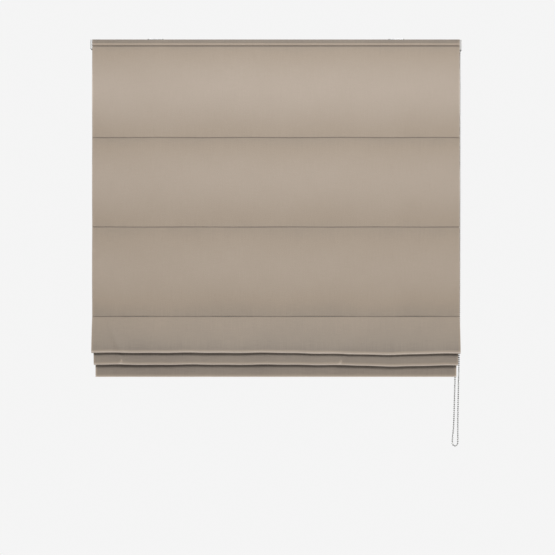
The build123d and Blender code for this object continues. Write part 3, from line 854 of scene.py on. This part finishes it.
# Rods and what goes with each: a fibreglass rod with soft vinyl tips, in a pocket of tape sewn through lining and
# face, and three clear guides clipped round the pocket that the lift cords run through.
rod_glass = drawn_metal("pultruded fibreglass", (0.7, 0.7, 0.66), (0.8, 0.8, 0.77), along=3.0, across=700.0,
                        metallic=0.0)
vinyl = moulding("soft vinyl", (0.66, 0.66, 0.64), (0.73, 0.73, 0.71), low=0.5, high=0.7)
clear = moulding("clear moulding", (0.86, 0.88, 0.88), (0.94, 0.95, 0.95), low=0.12, high=0.24,
                 Transmission_Weight=0.75, IOR=1.49)
pocket_tape = woven(
    "pocket tape",
    [(0.0, (0.62, 0.6, 0.55)), (0.9, (0.78, 0.76, 0.71))],
    0.2, 5200.0, 0.00012, 0.8, Sheen_Weight=0.2, Sheen_Roughness=0.5,
)
pocket_thick = 0.3
rod_bodies = ["rod_1", "rod_2", "rod_3", "rod_4", "bottom"]

# Stitches: short rounded dashes of thread, one after another along a seam
stitch_tree, inside = tree_with_sockets(
    "stitches",
    [("Pitch", "Float", 0.0035), ("Length", "Float", 0.0026), ("Thread", "Float", 0.00028)],
)
curve = wire(stitch_tree, "GeometryNodeMeshToCurve", {0: inside.outputs["Line"]})
even = wire(stitch_tree, "GeometryNodeResampleCurve", {"Curve": curve.outputs[0], "Length": inside.outputs["Pitch"]},
            mode="LENGTH")
dash = wire(stitch_tree, "GeometryNodeMeshUVSphere", {"Segments": 6, "Rings": 4, "Radius": 1.0})
half_dash = reckon(stitch_tree, "MULTIPLY", inside.outputs["Length"], 0.5)
gauge = inside.outputs["Thread"]
stretched = wire(stitch_tree, "ShaderNodeCombineXYZ", {0: gauge, 1: gauge, 2: half_dash})
along = wire(stitch_tree, "GeometryNodeInputTangent")
aimed = wire(stitch_tree, "FunctionNodeAlignEulerToVector", {"Vector": along.outputs[0]}, axis="Z")
placed = wire(stitch_tree, "GeometryNodeInstanceOnPoints", {
    "Points": even.outputs[0], "Instance": dash.outputs[0],
    "Rotation": aimed.outputs[0], "Scale": stretched.outputs[0]})
close_tree(stitch_tree, inside, placed.outputs[0])


def twisted_thread(name, colour, roughness, dark, light):
    """Sewing thread, lighter and darker along its twist."""
    material, tree, shader = finish(name, colour, roughness, Sheen_Weight=0.3)
    dress(tree, shader, (noise(tree, own_place(tree), 2400.0, 2.0), dark, light))
    return material


thread = twisted_thread("sewing thread", (0.7, 0.68, 0.62), 0.7, (0.6, 0.58, 0.52), (0.78, 0.76, 0.7))
face_thread = twisted_thread("taupe thread", (0.3, 0.24, 0.19), 0.6, (0.27, 0.21, 0.165), (0.36, 0.29, 0.235))


def sleeve_mesh(name, line, half, thickness, pucker):
    """A sleeve of tape along X: a line across it, run from side to side, with small puckers from its stitching."""
    count = math.ceil(2 * half / 5.0)
    across = [(x, x, 0.0) for x in [-half + 2 * half * i / count for i in range(count + 1)]]
    middle = sum(line, Vector((0, 0))) / len(line)

    def move(x, i):
        wave = pucker * (math.sin(x / 3.1 + i) * 0.6 + math.sin(x / 7.7))
        out = (line[i] - middle).normalized()
        return out.x * wave - face_front, out.y * wave

    shades = [0.55 + 0.3 * math.sin(3 * i) for i in range(len(line))]
    return cloth_piece(name, line, move, shades, across, thickness)


tab = 7.5  # the pocket's sewn edge stands this far over the rod
inset = 6.0  # its stitching stops this far from each end
stitch_y, stitch_down = rod_y - 2.7, 1.6
for n, body in enumerate(rod_bodies, 1):
    z = rod_z[n - 1]
    pocket_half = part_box(f"rod_pocket_{n}")[1].x / mm
    corners = [(-3.22, tab, 0), (-3.22, -3.1, 2.8), (3.05, -3.1, 2.8), (3.05, 3.05, 2.7), (-2.72, 3.05, 0.8),
               (-2.72, tab, 0)]
    line = rounded([(rod_y + y, z + up, radius) for y, up, radius in corners])
    pocket = sleeve_mesh(f"pocket_{n}", line, pocket_half, pocket_thick, 0.1)
    clothe(pocket, pocket_tape)
    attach(pocket, body)
    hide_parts(f"rod_pocket_{n}")
    row = [(side * (pocket_half - inset) * mm, stitch_y * mm, (z + tab - stitch_down) * mm) for side in (-1, 1)]
    seam = made_along(f"pocket_stitches_{n}", stitch_tree, [row], thread)
    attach(seam, body)
    paint(rod_glass, f"rod_{n}")
    paint(vinyl, f"rod_tips_{n}")
    paint(clear, f"cord_guides_{n}")

# The line of stitching under the heading, sunk in its valley
row = [(side * (half_width - 3.0) * mm, (face_front + 0.1) * mm, (-heading + 0.9) * mm) for side in (-1, 1)]
heading_seam = made_along("heading_stitches", stitch_tree, [row], face_thread, Length=0.0028)
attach(heading_seam, "headrail")

# Lift cords: braided polyester, from the spools down through the guides to breakaway anchors under the lowest rod.
# Each is cut here at the rods.
levels = [shaft_z / mm, *rod_z, cord_boxes["middle"][0].z / mm]
cord_bodies = ["headrail", *rod_bodies]
for n in range(6):
    high, low = levels[n], levels[n + 1]
    lines = [[(stations[p], cord_y, high * mm), (stations[p], cord_y, low * mm)] for p in places]
    cords = made_along(f"lift_cords_{n + 1}", cord_tree, lines, braid, Radius=cord_radius, Step=0.006)
    if n < 3:
        gather(cords, cord_bodies[n], f"lift_{n + 1}", high, low)
    elif n < 5:
        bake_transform(cords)
    else:
        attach(cords, "bottom")
    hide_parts(*[f"lift_cord_{p}" for p in places])
paint(white_moulding, "cord_anchors")

# Hem: an aluminium bar in a sleeve of lining cloth behind the turned-up hem, with small plastic end caps. The
# sleeve is one folded strip, stitched along its head.
bar_metal = drawn_metal("flat aluminium bar", (0.58, 0.59, 0.6), (0.76, 0.77, 0.78), along=5.0, across=800.0)
paint(bar_metal, "bottom_bar")
paint(white_moulding, "bar_end_caps")
sleeve_low, sleeve_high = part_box("hem_sleeve")
near, far = sleeve_low.y / mm + 0.05, sleeve_high.y / mm - 0.05
foot, head = sleeve_low.z / mm + 0.1, sleeve_high.z / mm
line = rounded([(near, head + 3.0, 0), (near, foot, 0.9), (far, foot, 0.9), (far, head, 1.6),
                (near + 0.5, head, 0.6), (near + 0.5, head + 3.0, 0)])
sleeve = sleeve_mesh("hem_pocket", line, sleeve_high.x / mm, 0.3, 0.08)
clothe(sleeve, lining_satin)
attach(sleeve, "bottom")
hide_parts("hem_sleeve")
row = [(x, (near + 0.6) * mm, (head + 1.4) * mm) for x in (sleeve_low.x + inset * mm, sleeve_high.x - inset * mm)]
hem_seam = made_along("hem_stitches", stitch_tree, [row], thread)
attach(hem_seam, "bottom")

# Bead chain: nickel-plated steel balls on a wire, an endless loop over the chain wheel. The free part hangs down the
# right-hand side, turns round at the bottom and comes back up behind. Its half turn in the wheel's groove is six
# pitches long, so it takes seven balls, counting the one at each end.
bead_tree, inside = tree_with_sockets(
    "balls on a wire",
    [("Balls", "Int", 100), ("Radius", "Float", 0.00225), ("Wire", "Float", 0.0005)],
)
curve = wire(bead_tree, "GeometryNodeMeshToCurve", {0: inside.outputs["Line"]})
even = wire(bead_tree, "GeometryNodeResampleCurve", {"Curve": curve.outputs[0], "Count": inside.outputs["Balls"]},
            mode="COUNT")
ball = wire(bead_tree, "GeometryNodeMeshUVSphere", {"Segments": 10, "Rings": 7, "Radius": inside.outputs["Radius"]})
placed = wire(bead_tree, "GeometryNodeInstanceOnPoints", {"Points": even.outputs[0], "Instance": ball.outputs[0]})
ring = wire(bead_tree, "GeometryNodeCurvePrimitiveCircle", {"Resolution": 5, "Radius": inside.outputs["Wire"]})
link = wire(bead_tree, "GeometryNodeCurveToMesh", {"Curve": even.outputs[0], "Profile Curve": ring.outputs[0]})
joined = wire(bead_tree, "GeometryNodeJoinGeometry")
for part in (link, placed):
    bead_tree.links.new(part.outputs[0], joined.inputs[0])
close_tree(bead_tree, inside, joined.outputs[0])

nickel, tree, shader = finish("nickel plate", (0.72, 0.71, 0.69), 0.22, Metallic=1.0)
rubbed = noise(tree, own_place(tree), 60.0, 4.0)
dress(tree, shader, (rubbed, (0.4, 0.395, 0.385), (0.58, 0.575, 0.56)), remap(tree, rubbed, (0.3, 0.7), (0.16, 0.34)))

wrap_low, wrap_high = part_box("chain_wrap")
wheel_x = (wrap_low.x + wrap_high.x) / 2 / mm
ball_radius = (wrap_high.x - wrap_low.x) / 2
circle = wrap_high.y / mm - ball_radius / mm
shaft = shaft_z / mm
ball_pitch = 6.0
wheel_pitches = 6
arc_steps = 24
chain_route = [
    (wheel_x, -circle, shaft), (wheel_x, 0.3 - circle, -470.0), (wheel_x - 0.8, -10.0, -860.0),
    (wheel_x - 3.9, -5.5, -1040.0), (wheel_x - 4.8, -2.2, -1115.0), (wheel_x - 4.6, -0.9, -1155.0),
    (wheel_x - 4.5, -0.5, -1173.0), (wheel_x - 4.7, -0.2, -1185.2), (wheel_x - 9.2, 0.1, -1190.8),
    (wheel_x - 16.0, 0.4, -1190.8), (wheel_x - 20.5, 0.7, -1185.2), (wheel_x - 20.4, 1.0, -1173.0),
    (wheel_x - 18.4, 1.4, -1155.0), (wheel_x - 15.6, 1.9, -1120.0), (wheel_x - 14.0, 2.7, -1060.0),
    (wheel_x - 11.6, 3.6, -970.0), (wheel_x - 8.0, 6.0, -780.0), (wheel_x - 4.0, 9.0, -430.0),
    (wheel_x, circle, shaft),
]
route = bpy.data.curves.new("chain_route", "CURVE")
route.dimensions = "3D"
spline = route.splines.new("NURBS")
spline.points.add(len(chain_route) - 1)
for point, place in zip(spline.points, chain_route):
    point.co = (*[c * mm for c in place], 1.0)
spline.order_u = 3
spline.use_endpoint_u = True
spline.resolution_u = 16
guide = add_object("chain_route", route)
bpy.context.view_layer.update()
smooth = bpy.data.meshes.new_from_object(guide.evaluated_get(bpy.context.evaluated_depsgraph_get()))
centreline = [v.co.copy() for v in smooth.vertices]
bpy.data.objects.remove(guide)
chain_length = sum((b - a).length for a, b in zip(centreline, centreline[1:]))
chain = made_along("ball_chain", bead_tree, [centreline], nickel,
                   Balls=round(chain_length / mm / ball_pitch) + 1, Radius=ball_radius)
over_wheel = []
for i in range(arc_steps + 1):
    angle = math.pi * i / arc_steps
    over_wheel.append((wheel_x * mm, -circle * mm * math.cos(angle), shaft_z + circle * mm * math.sin(angle)))
wrap = made_along("chain_on_wheel", bead_tree, [over_wheel], nickel, Balls=wheel_pitches + 1, Radius=ball_radius)
for piece in (chain, wrap):
    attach(piece, "headrail")
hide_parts("bead_chain")
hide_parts("chain_wrap")

# Studio: a pale floor under the blind, soft broad lights, and the camera square to the middle of the window opening.
floor_mesh = bpy.data.meshes.new("floor")
floor_half, floor_z = 2.4, -1.78
floor_mesh.from_pydata([(-floor_half, -floor_half, floor_z), (floor_half, -floor_half, floor_z),
                        (floor_half, 1.0, floor_z), (-floor_half, 1.0, floor_z)], [], [(0, 1, 2, 3)])
floor = add_object("floor", floor_mesh)
floor_paint, tree, shader = finish("studio floor", (0.86, 0.86, 0.855), 0.8)
floor_mesh.materials.append(floor_paint)


def softbox(name, place, aim, size, power):
    """A rectangular area light turned to face a point."""
    data = bpy.data.lights.new(name, "AREA")
    data.shape, data.size, data.size_y, data.energy = "RECTANGLE", *size, power
    light = bpy.data.objects.new(name, data)
    bpy.context.scene.collection.objects.link(light)
    light.location = place
    light.rotation_euler = (Vector(aim) - Vector(place)).to_track_quat("-Z", "Y").to_euler()


middle = (0, 0, -0.6)
softbox("key", (0.15, -3.3, 1.15), middle, (1.6, 1.1), 92)
softbox("low front", (0.3, -3.6, -1.4), middle, (2.6, 1.2), 9)
softbox("behind", (0.8, 3.2, 0.9), middle, (2.4, 2.0), 55)
softbox("top", (0.0, -0.2, 2.3), middle, (2.4, 1.6), 8)

world = bpy.data.worlds.new("pale studio")
bpy.context.scene.world = world
world.use_nodes = True
tree = world.node_tree
sky = tree.nodes["Background"]
sky.inputs[0].default_value = (1, 1, 1, 1)
seen = wire(tree, "ShaderNodeLightPath")
tree.links.new(remap(tree, seen.outputs["Is Camera Ray"], (0.0, 1.0), (0.18, 0.91)), sky.inputs[1])
bpy.context.scene.view_settings.view_transform = "Standard"

field_width = 1.619  # what the camera takes in across the blind's face
camera_distance = 4.0
camera_data = bpy.data.cameras.new("camera")
camera_data.sensor_width = 36.0
camera_data.lens = camera_data.sensor_width * camera_distance / field_width
camera = bpy.data.objects.new("camera", camera_data)
bpy.context.scene.collection.objects.link(camera)
camera.location = (0.0045, face_front * mm - camera_distance, -0.697)
camera.rotation_euler = (math.pi / 2, 0, 0)
bpy.context.scene.camera = camera
